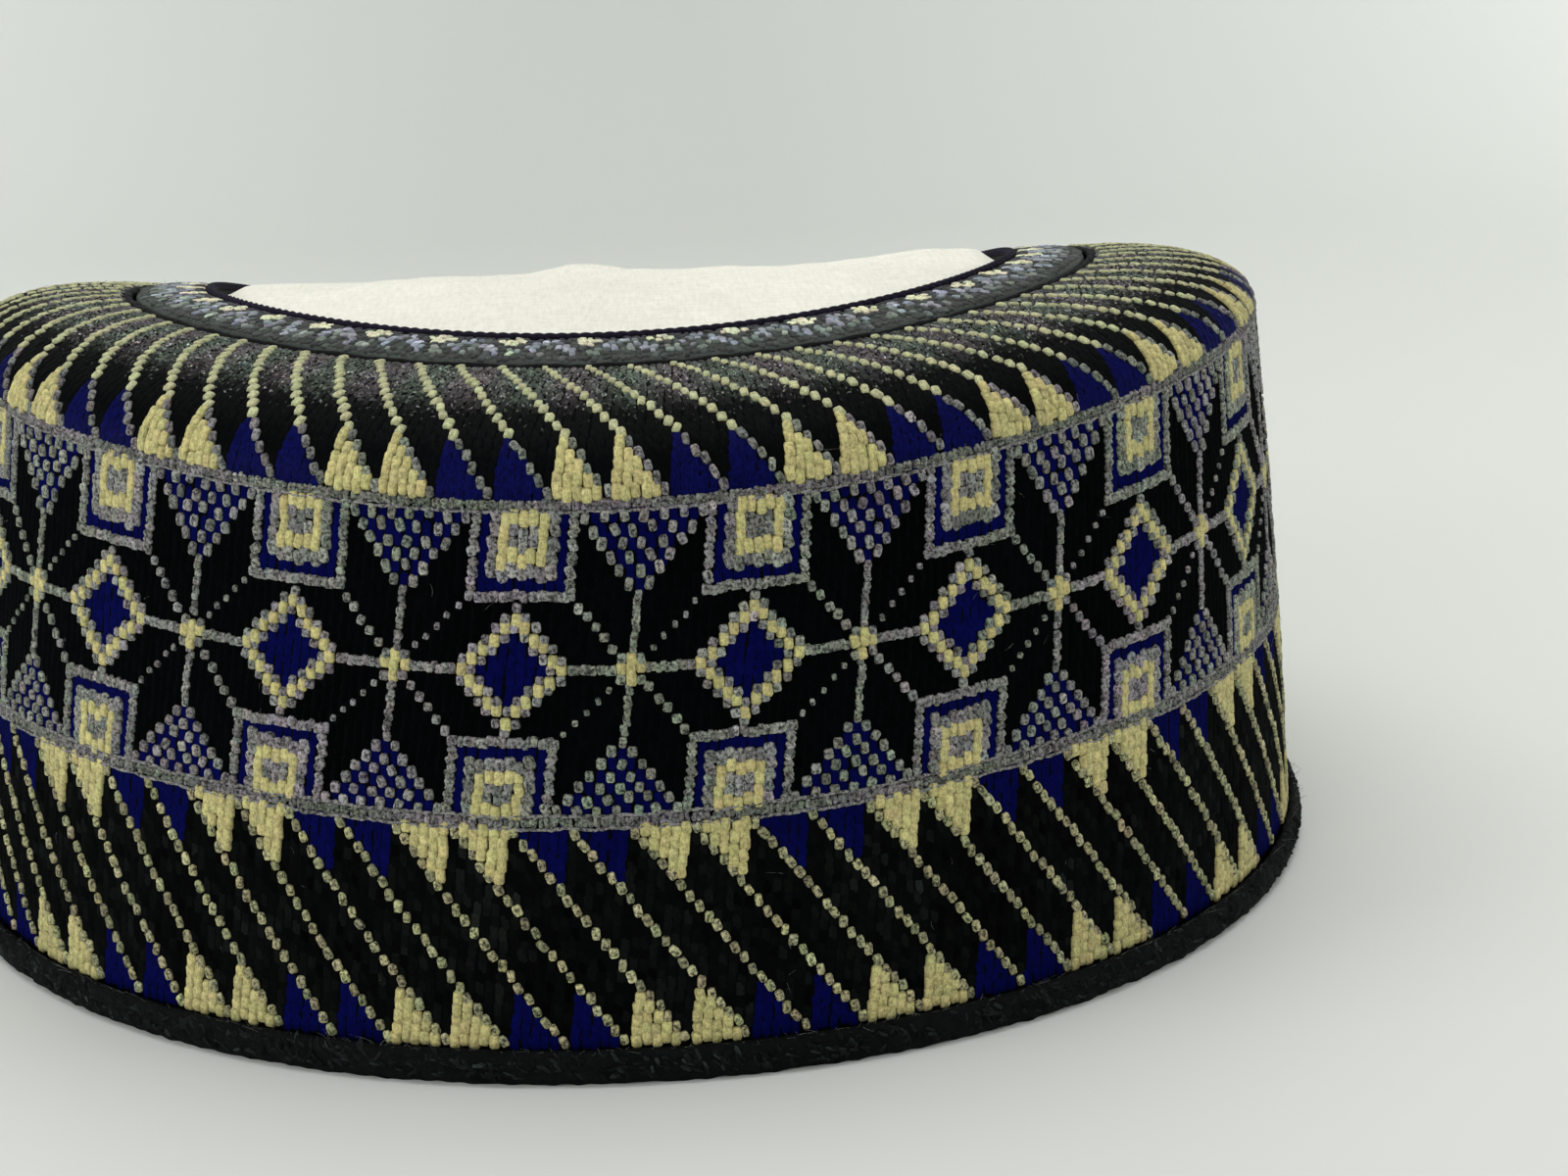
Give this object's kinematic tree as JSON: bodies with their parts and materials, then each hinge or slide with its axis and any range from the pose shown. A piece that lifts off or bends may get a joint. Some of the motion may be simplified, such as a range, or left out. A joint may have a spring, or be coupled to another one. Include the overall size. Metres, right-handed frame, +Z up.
{
  "type": "hausa cap",
  "caption": "Brimless oval cap with a stiff embroidered wall, rounded shoulder, rolled rim binding, flat embroidered ring and bare cloth crown, open below for the head.",
  "frame": {"origin": "middle of the rim, on the plane that the cap rests on", "axes": "+X along the longer axis of the oval, -Y to the front, +Y to the back, +Z up towards the crown"},
  "size_m": [0.1894, 0.1838, 0.0805],
  "materials": {
    "embroidered_wall": "black ground filled with short glossy thread stitches, patterned in cream, grey and navy blue",
    "black_binding": "matt black folded strip, slightly frayed along its lower edge",
    "seam_fold": "thin folded black edge along the seam",
    "embroidered_ring": "dark grey-green stitches with small cream and blue-grey motifs",
    "dark_cord": "dark purple-black laid cord",
    "cream_cotton": "plain cream cotton, slightly mottled and softly creased"
  },
  "bodies": {
    "root": {"side_wall": "embroidered_wall", "rim_binding": "black_binding", "seam_piping": "seam_fold", "crown_ring": "embroidered_ring", "inner_cord": "dark_cord", "crown_panel": "cream_cotton"}
  },
  "joints": []
}
